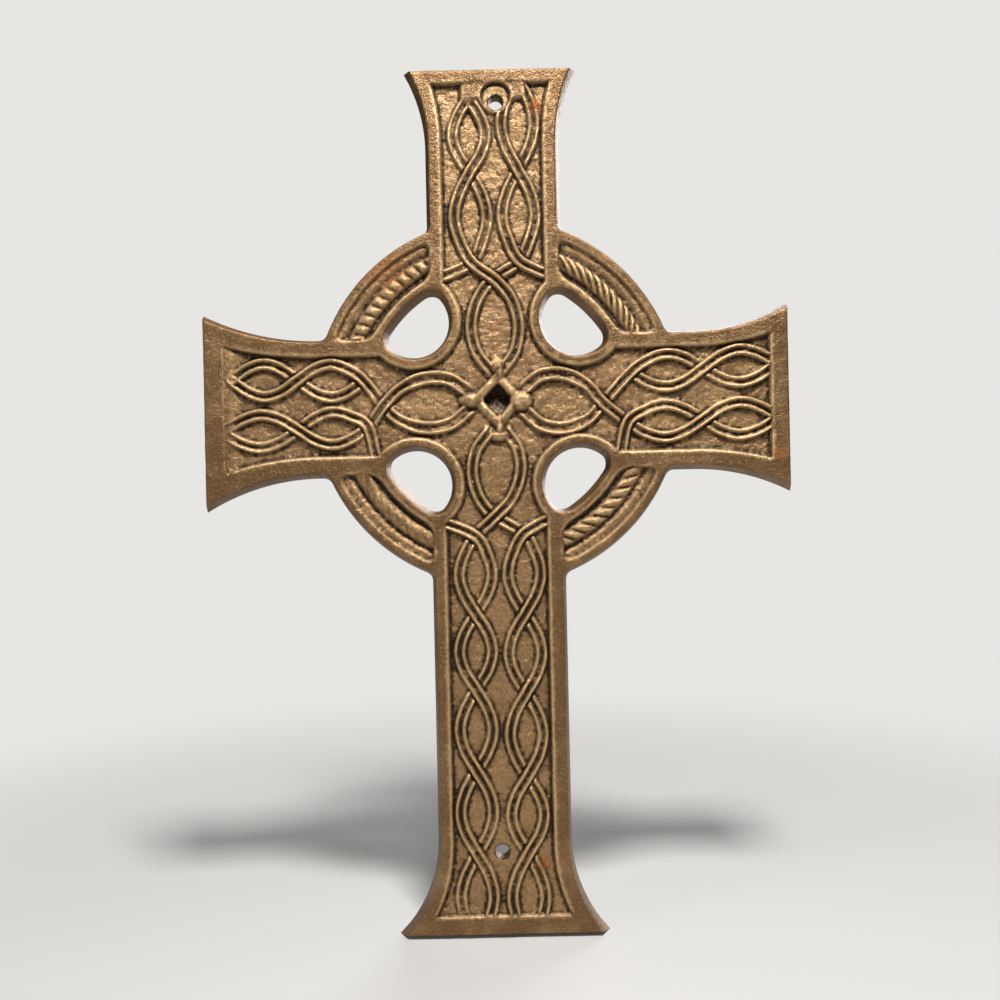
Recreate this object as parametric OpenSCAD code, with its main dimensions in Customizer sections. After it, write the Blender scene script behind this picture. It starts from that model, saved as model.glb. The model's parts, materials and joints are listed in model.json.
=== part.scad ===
// Ringed (Celtic) wall cross, cast in one piece, with two screw holes.
// The wall is the plane y = 0, the carved front faces -Y and +Z is up.
// The origin is the ring's centre on the wall plane.

/* [Arms] */
// Top of the cross above the ring's centre
top_reach = 116.3; // [100:0.1:160]
// Foot of the cross below the ring's centre
foot_reach = 186; // [150:0.1:260]
// Tip of the left arm from the ring's centre
left_reach = 102.8; // [85:0.1:140]
// Tip of the right arm from the ring's centre
right_reach = 102.6; // [85:0.1:140]
// Top arm: its left and right edge from the axis
top_neck = [23.4, 23.4]; // [20:0.1:28]
// Shaft: its left and right edge from the axis
foot_neck = [23.9, 23]; // [20:0.1:28]
// Left arm: its upper and lower edge from the axis
left_neck = [23.2, 25.3]; // [20:0.1:28]
// Right arm: its upper and lower edge from the axis
right_neck = [23.9, 24.8]; // [20:0.1:28]
// Top arm: how far its left and right corner stand out past those edges
top_spread = [7, 6.4]; // [2:0.1:16]
// Foot: how far its left and right corner stand out
foot_spread = [14.1, 12.8]; // [2:0.1:16]
// Left arm: how far its upper and lower corner stand out
left_spread = [9.6, 11.2]; // [2:0.1:16]
// Right arm: how far its upper and lower corner stand out
right_spread = [9.1, 8.4]; // [2:0.1:16]
// Length over which the top arm flares
top_flare = 27; // [20:0.5:45]
// Length over which the foot flares
foot_flare = 33; // [20:0.5:60]
// Length over which the left arm flares
left_flare = 40; // [20:0.5:45]
// Length over which the right arm flares
right_flare = 34; // [20:0.5:45]

/* [Ring] */
// Outer radius of the ring
ring_r = 64.6; // [60:0.1:78]
// Width of the flat rim outside the rope channel
ring_rim = 4.6; // [3:0.1:7]
// Width of the rope channel
channel_w = 11.2; // [7:0.1:12]
// Inner radius of the ring, at the openings
ring_inner_r = 44.5; // [42:0.1:46]
// Radius of each opening's rounded inner side
opening_r = 12.3; // [9:0.1:14]
// Distance of that round's centre from the upright's and the crossbar's axes
opening_at = 28.7; // [27:0.1:31]
// Corner radius of the openings
opening_corner = 3; // [1.5:0.1:4]
// Width of the collar round each opening
collar_w = 4.6; // [3:0.1:6]

/* [Thickness] */
// Wall to the top of the rims
rim_t = 7; // [5.5:0.1:10]
// Wall to the sunk ground of the panels
ground_t = 5.2; // [4:0.1:5.2]
// Depth of the ribbons' tops below the rims
ribbon_drop = 0.3; // [0.1:0.05:0.5]
// How far the beads stand proud of the rims
bead_proud = 1; // [0.5:0.1:2]

/* [Panels] */
// Top arm: width of its left, right and end rim
top_rims = [5.9, 6.1, 6]; // [4:0.1:10]
// Shaft: width of its left, right and end rim
foot_rims = [5.6, 6.6, 8]; // [4:0.1:10]
// Left arm: width of its upper, lower and end rim
left_rims = [6.6, 7.4, 8.8]; // [4:0.1:10]
// Right arm: width of its upper, lower and end rim
right_rims = [6.2, 6.9, 7.8]; // [4:0.1:10]
// Share of the arm's flare that its panel follows
panel_follow = 0.43; // [0.2:0.05:0.8]

/* [Knotwork] */
// Width of a ribbon over its two cords
ribbon_w = 4.3; // [3.4:0.1:5]
// Width of the groove between the two cords
groove_w = 1; // [0.6:0.1:1.4]
// Depth of that groove
groove_deep = 0.7; // [0.3:0.1:1]
// How far a ribbon dips beside one that crosses over it
dip_deep = 0.6; // [0.3:0.1:1]
// Side swing of the strands in the arms
swing = 5.7; // [4:0.1:6.5]

/* [Petals] */
// Each petal: its inner end from the centre, half the gap between its strands there, and their side swing
// Top petal
top_petal_size = [11, 2, 7.2]; // [1:0.1:14]
// Bottom petal
foot_petal_size = [11, 3.4, 6.6]; // [1:0.1:14]
// Left petal
left_petal_size = [10.6, 3.7, 6.8]; // [1:0.1:14]
// Right petal
right_petal_size = [10, 4.4, 7.2]; // [1:0.1:14]

/* [Twists] */
// Each twist: its offset from the arm's axis at the ring and at the tip, and its first crossing from the centre
// Top arm, left twist
top_left_twist = [-7.8, -7.8, 48.6]; // [-10:0.1:60]
// Top arm, right twist
top_right_twist = [8.8, 9.3, 48.8]; // [-10:0.1:60]
// Shaft, left twist
foot_left_twist = [-8.5, -10.6, 46.5]; // [-12:0.1:60]
// Shaft, right twist
foot_right_twist = [8.3, 7.4, 46]; // [-12:0.1:60]
// Left arm, upper twist
left_upper_twist = [8.2, 9.4, 46]; // [-12:0.1:60]
// Left arm, lower twist
left_lower_twist = [-7.8, -8.8, 45]; // [-12:0.1:60]
// Right arm, upper twist
right_upper_twist = [9.2, 11.2, 46.5]; // [-12:0.1:60]
// Right arm, lower twist
right_lower_twist = [-8, -7.4, 45.3]; // [-12:0.1:60]
// How far the free strands' ends lie nearer the centre than their twist's first crossing, in the upright
end_back = 5; // [3:0.1:8]
// The same in the crossbar
bar_end_back = 2.7; // [2:0.1:8]

/* [Rope] */
// Radius of one rope strand
rope_strand_r = 1.7; // [1:0.1:2.2]
// Length of one rope strand across the channel
rope_strand_l = 5; // [3:0.1:6]
// Spacing of the strands along the ring, for the quarters upper right, upper left, lower left, lower right
rope_pitch = [3.6, 3.9, 3.9, 4.4]; // [3.5:0.1:6]
// Slant of the strands off the radial direction in those quarters, in degrees
rope_slant = [52, -17, 50, -44]; // [-75:1:75]

/* [Centre] */
// Radius of the left and of the right bead
bead_r = [3, 3.6]; // [2:0.1:4.2]
// Distance of the beads from the centre
bead_at = 8.5; // [7:0.1:10]
// Distance of the knots above and below the centre
knot_at = 8.2; // [7:0.1:10]
// Width of the diamond cord that joins them
diamond_w = 2.6; // [1.5:0.1:3.5]

/* [Screw holes] */
// Radius of the two screw holes
screw_r = 2.4; // [1.5:0.05:3.5]
// Upper hole: across, and down from the top edge
upper_hole = [1.7, 12.4]; // [-4:0.1:20]
// Lower hole: across, and up from the foot
lower_hole = [-1.5, 29.5]; // [-4:0.1:40]
// Radius of the flat seat cut round the upper hole
seat_r = 5; // [4:0.1:7]
// How far the seat's centre lies above the upper hole
seat_rise = 1.9; // [0:0.1:2.5]

/* [Hidden] */
iron = [0.36, 0.26, 0.17];
$fn = 96;
over_cut = 1;             // cutters run this far past the face they open
arc_step = 5;             // degrees between points on a worked-out arc
wave_steps = 4;           // knots in one swing of a strand in a twist
petal_steps = 6;          // knots in its swing in a petal
petal_power = 0.7;        // below 1, the petals are fuller than a sine wave
closed_by = 1.2;          // a closed twist's free strand runs this far past its first crossing
spline_steps = 2;         // points between two knots of a strand
wall_step = 0.25;         // ledge where a sunk panel meets its rim
crossing_r = 4.4;         // a crossing acts this far from its centre
bead_up = 0.6;            // the beads lie this far above the ring's centre
rim_bite = 1;             // strands run this far into the rims
channel_end = 0.8;        // the rope channels run this far into the arms' edges
rope_sink = 0.1;          // the strands' axes lie this far above the channel's floor
rope_arc = 36;            // length of the row of strands in each quarter
rope_sit = 1;             // their row lies this far nearer the openings than the channel's middle
rope_mid_r = ring_r - ring_rim - channel_w / 2 - rope_sit;
upper_at = [upper_hole[0], top_reach - upper_hole[1]];
lower_at = [lower_hole[0], lower_hole[1] - foot_reach];

UP = [0, 1];
DOWN = [0, -1];
LEFT = [-1, 0];
RIGHT = [1, 0];

// Each arm: direction, reach, edges, spread, flare length, rims.
// An arm's two edges are its left and right one, or its upper and lower one.
arms = [
  [UP, top_reach, top_neck, top_spread, top_flare, top_rims],
  [DOWN, foot_reach, foot_neck, foot_spread, foot_flare, foot_rims],
  [LEFT, left_reach, left_neck, left_spread, left_flare, left_rims],
  [RIGHT, right_reach, right_neck, right_spread, right_flare, right_rims],
];
quadrants = [[1, 1], [-1, 1], [-1, -1], [1, -1]];

// ---- Outlines ----
// A point of an arm: along its direction, and towards its first edge (across > 0) or its second one.
function across_dir(dir) = dir[0] == 0 ? LEFT : UP;
function arm_point(dir, along, across) = dir * along + across_dir(dir) * across;

// One edge of an arm, straight and then a circular flare that ends at the corner.
function flare_radius(length, spread) = (length * length + spread * spread) / (2 * spread);
function edge_points(from, reach, edge, spread, flare) =
  let (r = flare_radius(flare, spread), turn = asin(flare / r), n = ceil(turn / arc_step) + 1)
  concat([[from, edge]],
         [for (i = [0 : n]) let (a = turn * i / n) [reach - flare + r * sin(a), edge + r * (1 - cos(a))]]);

function arm_outline(dir, from, reach, edges, spread, flare) =
  let (first = edge_points(from, reach, edges[0], spread[0], flare),
       second = edge_points(from, reach, edges[1], spread[1], flare))
  concat([for (p = first) arm_point(dir, p[0], p[1])],
         [for (i = [len(second) - 1 : -1 : 0]) arm_point(dir, second[i][0], -second[i][1])]);

// Panel of an arm: the same outline drawn in by the rims.
function panel_outline(arm, grow) =
  let (drawn = [for (i = [0, 1]) arm[2][i] - arm[5][i] + grow],
       follow = [for (s = arm[3]) s * panel_follow],
       reach = arm[1] - arm[5][2] + grow)
  arm_outline(arm[0], 0, reach, drawn, follow, arm[4] - arm[5][2]);

// Opening: a round side and the ring's arc, joined by two small corner arcs.
function arc(centre, r, a0, a1) =
  let (n = max(2, ceil(abs(a1 - a0) / arc_step)))
  [for (i = [0 : n]) let (a = a0 + (a1 - a0) * i / n) centre + r * [cos(a), sin(a)]];
function opening_outline(grow) =
  let (c = opening_at * sqrt(2), r = opening_r + grow, big = ring_inner_r + grow, f = opening_corner,
       // the corner's centre is big - f from the origin and r - f from the round's centre
       t = acos((pow(big - f, 2) + c * c - pow(r - f, 2)) / (2 * (big - f) * c)),
       corner = (big - f) * [cos(45 + t), sin(45 + t)],
       round_centre = [opening_at, opening_at],
       out_dir = atan2(corner[1] - round_centre[1], corner[0] - round_centre[0]),
       half = concat(arc([0, 0], big, 45, 45 + t), arc(corner, f, 45 + t, out_dir),
                     arc(round_centre, r, out_dir, 225)))
  concat(half, [for (i = [len(half) - 2 : -1 : 1]) [half[i][1], half[i][0]]]);

// ---- Strands ----
function lerp(a, b, u) = a + (b - a) * u;
function unit(v) = v / norm(v);
function left_of(v) = [-v[1], v[0]];

// Where the two strands of a twist cross, as shares of the way from its first crossing to the panel's end.
function along_side(dir) = [abs(dir[1]), abs(dir[0])];
function crossings(arm, twist, shares) =
  let (end = arm[1] - arm[5][2], n = len(shares) - 1)
  [for (i = [0 : n])
    arm[0] * lerp(twist[2], end, shares[i]) + along_side(arm[0]) * lerp(twist[0], twist[1], i / n)];

// Eight twists, two to an arm: the crossings from the ring outwards.
top_left_x = crossings(arms[0], top_left_twist, [0, 0.503, 0.92]);
top_right_x = crossings(arms[0], top_right_twist, [0, 0.513, 1.03]);
foot_left_x = crossings(arms[1], foot_left_twist, [0, 0.206, 0.405, 0.62, 0.839, 1.068]);
foot_right_x = crossings(arms[1], foot_right_twist, [0, 0.211, 0.419, 0.64, 0.842, 1.076]);
left_upper_x = crossings(arms[2], left_upper_twist, [0, 0.482, 0.96]);
left_lower_x = crossings(arms[2], left_lower_twist, [0, 0.493, 1.03]);
right_upper_x = crossings(arms[3], right_upper_twist, [0, 0.524, 1.056]);
right_lower_x = crossings(arms[3], right_lower_twist, [0, 0.527, 1.055]);

// Where a free strand runs into the rim on one side of an arm: side 0 is the first edge, 1 the second.
function rim_end(arm, twist, side) =
  arm_point(arm[0], twist[2] - (arm[0][0] == 0 ? end_back : bar_end_back),
            (side == 0 ? 1 : -1) * (arm[2][side] - arm[5][side] + rim_bite));

// Where a closed twist's free strand ends, just past its first crossing.
function closed_end(arm, x) = x[0] - arm[0] * closed_by;

// Four petals: where their strands cross outside, between the twists' first crossings, where they end, half
// their gap there and their swing.
function petal(first, second, back, dir, up, size) =
  [(first[0] + second[0]) / 2 - back, dir * size[0] + up * UP, size[1], size[2]];
top_petal = petal(top_left_x, top_right_x, [0.8, 5.9], UP, 0, top_petal_size);
foot_petal = petal(foot_left_x, foot_right_x, [1.4, -6.4], DOWN, 0, foot_petal_size);
left_petal = petal(left_upper_x, left_lower_x, [-6, 0.8], LEFT, bead_up, left_petal_size);
right_petal = petal(right_upper_x, right_lower_x, [9.1, 1.8], RIGHT, bead_up, right_petal_size);

function reversed(v) = [for (i = [len(v) - 1 : -1 : 0]) v[i]];

// Knots of one stretch of a strand, which swings out by amount between its ends, towards +X in the
// upright and +Z in the crossbar. A smaller power makes a fuller swing.
function swing_side(d) = abs(d[0]) > abs(d[1]) ? UP : RIGHT;
function swing_knots(from, to, amount, steps, power) =
  let (d = to - from)
  [for (i = [0 : steps - 1])
    from + d * i / steps + swing_side(d) * amount * pow(sin(180 * i / steps), power)];
function twist_knots(x, swings) =
  [for (i = [0 : len(swings) - 1]) each swing_knots(x[i], x[i + 1], swings[i], wave_steps, 1)];

// Smooth curve through the knots.
function curve_point(k, i, u) =
  let (n = len(k) - 1, a = k[max(i - 1, 0)], b = k[i], c = k[i + 1], d = k[min(i + 2, n)])
  0.5 * (2 * b + (c - a) * u + (2 * a - 5 * b + 4 * c - d) * u * u + (3 * b - a - 3 * c + d) * u * u * u);
function curve(k) =
  concat([for (i = [0 : len(k) - 2], j = [0 : spline_steps - 1]) curve_point(k, i, j / spline_steps)],
         [k[len(k) - 1]]);

// Side swings of a twist of n eyes, seen from the tip inwards, where the eye at the ring swings by first.
function alternate(n, first) = [for (i = [n - 1 : -1 : 0]) first * (i % 2 == 0 ? 1 : -1)];
function to_petal(x, first, petal, sign) =
  let (tip = petal[0], last = petal[1] + swing_side(petal[1] - tip) * sign * petal[2])
  curve(concat(twist_knots(reversed(x), alternate(len(x) - 1, first)),
               [x[0]], swing_knots(tip, last, sign * petal[3], petal_steps, petal_power), [last]));
function to_end(x, first, end) =
  curve(concat(twist_knots(reversed(x), alternate(len(x) - 1, first)), [x[0], end]));

// Sixteen strands, four to an arm.
strands = [
  to_petal(top_left_x, -swing, top_petal, 1),
  to_end(top_left_x, swing, rim_end(arms[0], top_left_twist, 0)),
  to_petal(top_right_x, swing, top_petal, -1),
  to_end(top_right_x, -swing, rim_end(arms[0], top_right_twist, 1)),
  to_petal(foot_left_x, -swing, foot_petal, 1),
  to_end(foot_left_x, swing, rim_end(arms[1], foot_left_twist, 0)),
  to_petal(foot_right_x, swing, foot_petal, -1),
  to_end(foot_right_x, -swing, rim_end(arms[1], foot_right_twist, 1)),
  to_petal(left_upper_x, swing, left_petal, -1),
  to_end(left_upper_x, -swing, closed_end(arms[2], left_upper_x)),
  to_petal(left_lower_x, -swing, left_petal, 1),
  to_end(left_lower_x, swing, rim_end(arms[2], left_lower_twist, 1)),
  to_petal(right_upper_x, swing, right_petal, -1),
  to_end(right_upper_x, -swing, closed_end(arms[3], right_upper_x)),
  to_petal(right_lower_x, -swing, right_petal, 1),
  to_end(right_lower_x, swing, rim_end(arms[3], right_lower_twist, 1)),
];

// Each crossing: its place, the strand on top and the strand below.
function twist_over(x, even, odd) =
  [for (i = [0 : len(x) - 2]) i % 2 == 0 ? [x[i], even, odd] : [x[i], odd, even]];
overs = concat(
  [[top_left_x[0], 0, 1], [top_left_x[1], 0, 1], [top_petal[0], 0, 2]],
  twist_over(top_right_x, 3, 2),
  twist_over(foot_left_x, 5, 4),
  twist_over(foot_right_x, 7, 6),
  [[foot_petal[0], 4, 6], [left_petal[0], 10, 8], [right_petal[0], 14, 12]],
  [[left_upper_x[0], 8, 9], [left_upper_x[1], 8, 9], [left_lower_x[0], 11, 10], [left_lower_x[1], 10, 11]],
  [[right_upper_x[0], 12, 13], [right_upper_x[1], 13, 12], [right_lower_x[0], 15, 14], [right_lower_x[1], 14, 15]]
);

// ---- Flat shapes ----
module outline() {
  circle(r = ring_r, $fn = 144);
  for (a = arms) polygon(arm_outline(a[0], 0, a[1], a[2], a[3], a[4]));
}

module openings(grow = 0) {
  for (q = quadrants) mirror([q[0] < 0 ? 1 : 0, 0]) mirror([0, q[1] < 0 ? 1 : 0]) polygon(opening_outline(grow));
}

module collars() {
  for (q = quadrants) translate(opening_at * q) circle(r = opening_r + collar_w);
}

// The sunk ground: the four panels, less the collars round the openings.
module panels(grow) {
  difference() {
    union() for (a = arms) polygon(panel_outline(a, grow));
    collars();
  }
}

module band(path, width) {
  n = len(path) - 1;
  sides = [for (i = [0 : n]) left_of(unit(path[min(i + 1, n)] - path[max(i - 1, 0)])) * width / 2];
  polygon(concat([for (i = [0 : n]) path[i] + sides[i]], [for (i = [n : -1 : 0]) path[i] - sides[i]]));
}

module over_band(crossing, extra = 0) {
  intersection() {
    band(strands[crossing[1]], ribbon_w + 2 * extra);
    translate(crossing[0]) circle(r = crossing_r + 2, $fn = 32);
  }
}

module ribbons() {
  for (s = strands) band(s, ribbon_w);
}

module grooves() {
  for (i = [0 : len(strands) - 1]) difference() {
    band(strands[i], groove_w);
    for (c = overs) if (c[2] == i) over_band(c);
  }
}

module dips() {
  for (c = overs) difference() {
    intersection() {
      band(strands[c[2]], ribbon_w);
      translate(c[0]) circle(r = crossing_r, $fn = 32);
    }
    over_band(c);
  }
}

module channels(grow = 0) {
  outer = ring_r - ring_rim + grow;
  difference() {
    circle(r = outer, $fn = 144);
    circle(r = outer - channel_w - 2 * grow, $fn = 144);
    for (a = arms) polygon(arm_outline(a[0], 0, a[1], a[2] - (channel_end + grow) * [1, 1], a[3], a[4]));
  }
}

module diamond(width) {
  difference() {
    polygon([[bead_at, bead_up], [0, knot_at], [-bead_at, bead_up], [0, -knot_at]]);
    polygon([[bead_at - width, bead_up], [0, knot_at - width], [-bead_at + width, bead_up], [0, width - knot_at]]);
  }
}

// One cut: from a height up through the front.
module sink(to) {
  translate([0, 0, to]) linear_extrude(rim_t - to + over_cut) children();
}

// The rope: a low core round the channel and a row of slanting strands lying over it.
module rope_strand(angle, slant) {
  rotate(angle) translate([rope_mid_r, 0, ground_t + rope_sink]) rotate([0, 90, slant])
    cylinder(r = rope_strand_r, h = rope_strand_l, center = true, $fn = 24);
}

module rope(i) {
  count = floor(rope_arc / rope_pitch[i]) + 1;
  turn = rope_pitch[i] / rope_mid_r * 180 / PI;
  start = 45 - turn * (count - 1) / 2;
  mirror([quadrants[i][0] < 0 ? 1 : 0, 0, 0]) mirror([0, quadrants[i][1] < 0 ? 1 : 0, 0])
    for (k = [0 : count - 1]) rope_strand(start + turn * k, rope_slant[i]);
}

module beads() {
  for (i = [0, 1]) translate([(2 * i - 1) * bead_at, bead_up, rim_t + bead_proud - bead_r[i]])
    sphere(r = bead_r[i], $fn = 32);
}

module screw_holes() {
  for (at = [upper_at, lower_at]) translate([at[0], at[1], -over_cut])
    cylinder(r = screw_r, h = rim_t + 2 * over_cut);
  translate([upper_at[0], upper_at[1] + seat_rise, ground_t]) cylinder(r = seat_r, h = rim_t);
}

// ---- The casting ----
module celtic_cross() {
  color(iron) rotate([90, 0, 0]) difference() {
    union() {
      difference() {
        linear_extrude(rim_t) outline();
        sink(-over_cut) openings();
        sink(rim_t - ribbon_drop) panels(wall_step);
        sink(ground_t) difference() {
          panels(0);
          ribbons();
          diamond(diamond_w);
        }
        sink(rim_t - ribbon_drop - dip_deep) intersection() {
          panels(0);
          dips();
        }
        sink(rim_t - ribbon_drop - groove_deep) intersection() {
          panels(0);
          grooves();
        }
        sink(ground_t) channels();
      }
      for (i = [0 : len(quadrants) - 1]) rope(i);
      beads();
    }
    screw_holes();
  }
}

celtic_cross();
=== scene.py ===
"""Looks of a cast iron ringed (Celtic) wall cross: one closed mesh, with carving, drafted sides and grain.

The carving is a height field over the front, worked out in millimetres from the CAD part's named sizes.
"""

import json
import math

import bpy
import numpy as np
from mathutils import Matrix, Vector


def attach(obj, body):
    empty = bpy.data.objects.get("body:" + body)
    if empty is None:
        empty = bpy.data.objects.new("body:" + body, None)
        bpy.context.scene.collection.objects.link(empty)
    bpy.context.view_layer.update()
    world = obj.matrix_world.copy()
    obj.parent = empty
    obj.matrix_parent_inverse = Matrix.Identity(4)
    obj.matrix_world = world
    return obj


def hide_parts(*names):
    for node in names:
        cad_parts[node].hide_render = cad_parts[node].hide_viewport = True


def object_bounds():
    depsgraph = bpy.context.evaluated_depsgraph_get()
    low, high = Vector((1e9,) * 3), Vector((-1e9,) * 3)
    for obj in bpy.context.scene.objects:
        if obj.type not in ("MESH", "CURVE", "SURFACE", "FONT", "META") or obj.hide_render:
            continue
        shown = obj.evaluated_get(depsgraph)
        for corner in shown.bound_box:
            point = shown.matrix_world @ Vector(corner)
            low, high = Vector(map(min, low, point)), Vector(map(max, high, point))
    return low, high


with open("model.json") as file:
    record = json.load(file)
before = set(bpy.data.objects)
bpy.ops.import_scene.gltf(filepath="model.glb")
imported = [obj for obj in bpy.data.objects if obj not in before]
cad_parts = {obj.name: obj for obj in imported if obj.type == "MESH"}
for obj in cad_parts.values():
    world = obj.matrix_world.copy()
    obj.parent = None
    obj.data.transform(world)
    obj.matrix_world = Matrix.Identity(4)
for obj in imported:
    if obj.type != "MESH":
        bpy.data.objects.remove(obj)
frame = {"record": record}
cad_lo, cad_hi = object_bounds()

MM = 1000.0  # millimetres in a metre
NODE = "celtic_cross"

# ---- Driving sizes, mm ----
TOP, FOOT = cad_hi.z * MM, -cad_lo.z * MM
LEFT, RIGHT = -cad_lo.x * MM, cad_hi.x * MM
RIM_T = 7.0  # wall to the top of the rims
GROUND_T = 5.2  # wall to the sunk ground
DRAFT = 1.3  # how far the sides lean in from back to front
ARRIS = 0.7  # radius of the front edges
BACK_EDGE = 0.35  # radius of the back edges
HOLE_SHARPNESS = 5.0  # the holes' walls are this many times steeper than the drafted sides
WALL_W = 1.3  # width of the slope between a rim and the sunk ground

RING_R = 64.6
RING_RIM = 4.6
CHANNEL_W = 11.2
RING_INNER_R = 44.5
OPENING_R = 12.3
OPENING_AT = 28.7
OPENING_CORNER = 3.0
COLLAR_W = 4.6
PANEL_FOLLOW = 0.43  # share of an arm's flare that its panel follows
CHANNEL_END = 0.8  # the rope channels run this far into the arms' edges
CHANNEL_ROUND = 3.5  # rounding of their corners
FILLET = 2.2  # radius where the ring meets the arms
CORNER = 0.6  # reach of the rounding at the arms' corners

UP, DOWN, WEST, EAST = (0, 1), (0, -1), (-1, 0), (1, 0)
# Each arm: direction, reach, its two edges, their spread at the tip, length of the flare, and its rims:
# along the two edges and across the tip. The edges are left and right on the upright, upper and lower on
# the crossbar.
ARMS = [
    (UP, TOP, (23.4, 23.4), (7.0, 6.4), 27.0, (5.9, 6.1, 6.0)),
    (DOWN, FOOT, (23.9, 23.0), (14.1, 12.8), 33.0, (5.6, 6.6, 8.0)),
    (WEST, LEFT, (23.2, 25.3), (9.6, 11.2), 40.0, (6.6, 7.4, 8.8)),
    (EAST, RIGHT, (23.9, 24.8), (9.1, 8.4), 34.0, (6.2, 6.9, 7.8)),
]

holes = {m["name"]: m for m in frame["record"]["mounts"] if m["kind"] == "bore"}


def hole_place(name):
    return np.array([holes[name]["pos_m"][0], holes[name]["pos_m"][2]]) * MM


UPPER_HOLE, LOWER_HOLE = hole_place("upper_screw_hole"), hole_place("lower_screw_hole")
HOLE_R = holes["upper_screw_hole"]["dims"]["r_mm"]
SEAT_R = 5.0  # radius of the flat round the upper hole
SEAT_RISE = 1.9  # how far above the hole its middle lies

# ---- Grid ----
STEP = 0.34  # spacing of the height field
FACES = 195_000  # the mesh is thinned to this many triangles


# ---- Small helpers ----
def smooth(t):
    t = np.clip(t, 0.0, 1.0)
    return t * t * (3 - 2 * t)


def soft_min(a, b, k):
    """The smaller of two distances, with a fillet of radius k between them."""
    h = np.maximum(k - np.abs(a - b), 0.0) / k
    return np.minimum(a, b) - h * h * k / 4


def soft_max(a, b, k):
    return -soft_min(-a, -b, k)


NOISE_CELLS = 256  # the noise repeats after this many bumps
NOISE_SHIFT = (57.3, 91.7)


def noise(x, z, size, seed):
    """Smooth noise from -1 to 1 with bumps about size mm across."""
    rng = np.random.default_rng(seed)
    n = NOISE_CELLS
    lattice = rng.uniform(-1, 1, (n, n))
    u, v = x / size + NOISE_SHIFT[0], z / size + NOISE_SHIFT[1]
    i, j = np.floor(u).astype(int), np.floor(v).astype(int)
    a, b = smooth(u - i), smooth(v - j)
    i0, i1, j0, j1 = i % n, (i + 1) % n, j % n, (j + 1) % n
    low = lattice[i0, j0] * (1 - a) + lattice[i1, j0] * a
    high = lattice[i0, j1] * (1 - a) + lattice[i1, j1] * a
    return low * (1 - b) + high * b


# ---- Plan shapes: signed distances, negative inside ----
def arm_distance(x, z, arm, panel=False):
    """Distance to an arm's outline, or to its panel's."""
    (dx, dz), reach, edges, spread, flare, rims = arm
    along = x * dx + z * dz
    across = -x if dx == 0 else z
    first = across >= 0
    edge = np.where(first, edges[0], edges[1])
    out = np.where(first, spread[0], spread[1])
    tip = 0.0
    if panel:
        edge = edge - np.where(first, rims[0], rims[1])
        out = out * PANEL_FOLLOW
        tip = rims[2]
    length = flare - tip
    r = (length**2 + out**2) / (2 * out)
    t = np.clip(along - (reach - tip - length), 0.0, length)
    root = np.sqrt(r**2 - t**2)
    side = (np.abs(across) - edge - (r - root)) / np.sqrt(1 + (t / root) ** 2)
    return np.maximum(soft_max(side, along - (reach - tip), CORNER), -along)


def opening_distance(x, z, grow=0.0):
    """Distance to the pierced quadrants: a round side and the ring's arc, with rounded corners."""
    ax, az = np.abs(x), np.abs(z)
    a = np.hypot(ax - OPENING_AT, az - OPENING_AT) - OPENING_R - grow + OPENING_CORNER
    b = np.hypot(x, z) - RING_INNER_R - grow + OPENING_CORNER
    outside = np.hypot(np.maximum(a, 0), np.maximum(b, 0))
    return np.minimum(np.maximum(a, b), 0) + outside - OPENING_CORNER


def hole_distance(x, z):
    near = [np.hypot(x - h[0], z - h[1]) - HOLE_R for h in (UPPER_HOLE, LOWER_HOLE)]
    return np.minimum(*near)


def plan(x, z):
    """Distance to the casting's outline on the wall plane, openings and holes cut."""
    d = np.hypot(x, z) - RING_R
    for arm in ARMS:
        d = soft_min(d, arm_distance(x, z, arm), FILLET)
    d = np.maximum(d, -opening_distance(x, z))
    return np.maximum(d, -hole_distance(x, z) * HOLE_SHARPNESS)


def panel_distance(x, z):
    """Distance to the sunk ground: the arms drawn in by their rims, less the collars."""
    d = np.full(np.shape(x), 1e3)
    for arm in ARMS:
        d = np.minimum(d, arm_distance(x, z, arm, panel=True))
    collar = np.hypot(np.abs(x) - OPENING_AT, np.abs(z) - OPENING_AT) - OPENING_R - COLLAR_W
    return np.maximum(d, -collar)


def channel_distance(x, z):
    """Distance to the sunk channels in the ring, which have rounded ends just inside the arms' edges."""
    outer = RING_R - RING_RIM
    r = np.hypot(x, z)
    d = np.maximum(r - outer, outer - CHANNEL_W - r)
    for arm in ARMS:
        d = soft_max(d, -arm_distance(x, z, arm) - CHANNEL_END, CHANNEL_ROUND)
    return d


# ---- Ribbons ----
CORD_AT = 1.35  # a ribbon's two cords lie this far from its middle
CORD_HALF = 0.85  # half width of a cord
CORD_ROUND = 1.7  # 2 is a parabola, 1 a sharp ridge
BODY_PAST, BODY_EDGE = 0.1, 0.5  # a ribbon's body reaches this far past its cords; width of its slope
PETAL_SPREAD = 0.35  # the cords lie this much further apart in the crossbar's petals
PETAL_LENGTH = 26.0  # length of a strand that counts as its petal
PETAL_SPREADS_OVER = 8.0  # the cords move apart over this length
BODY_H = 0.4  # height of a ribbon's body over the ground
CORD_H = 1.35  # height of its cords over the body
SWING = 5.7  # a strand swings this far out between two crossings
CROSSING_R = 4.6  # length of a strand on each side of a crossing that rises or sinks
LIFT, DIP = 0.2, 0.5  # an upper strand rises and a lower one sinks by this at a crossing
LIFTED_H = 0.5  # what is lower than this on a ribbon moves less
UNDER_GAP, UNDER_FADE = 0.05, 0.7  # a lower strand stops this far from the upper one, and fades over this
UNDER_PAST = 1.5  # the upper strand cuts the lower one this far past the crossing's reach
# The share of a ribbon's full height that wear has left: its mean, and noise of size, bumps, seed
WEAR = (0.9, (0.28, 6.0, 11), (0.14, 2.0, 12))
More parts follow.
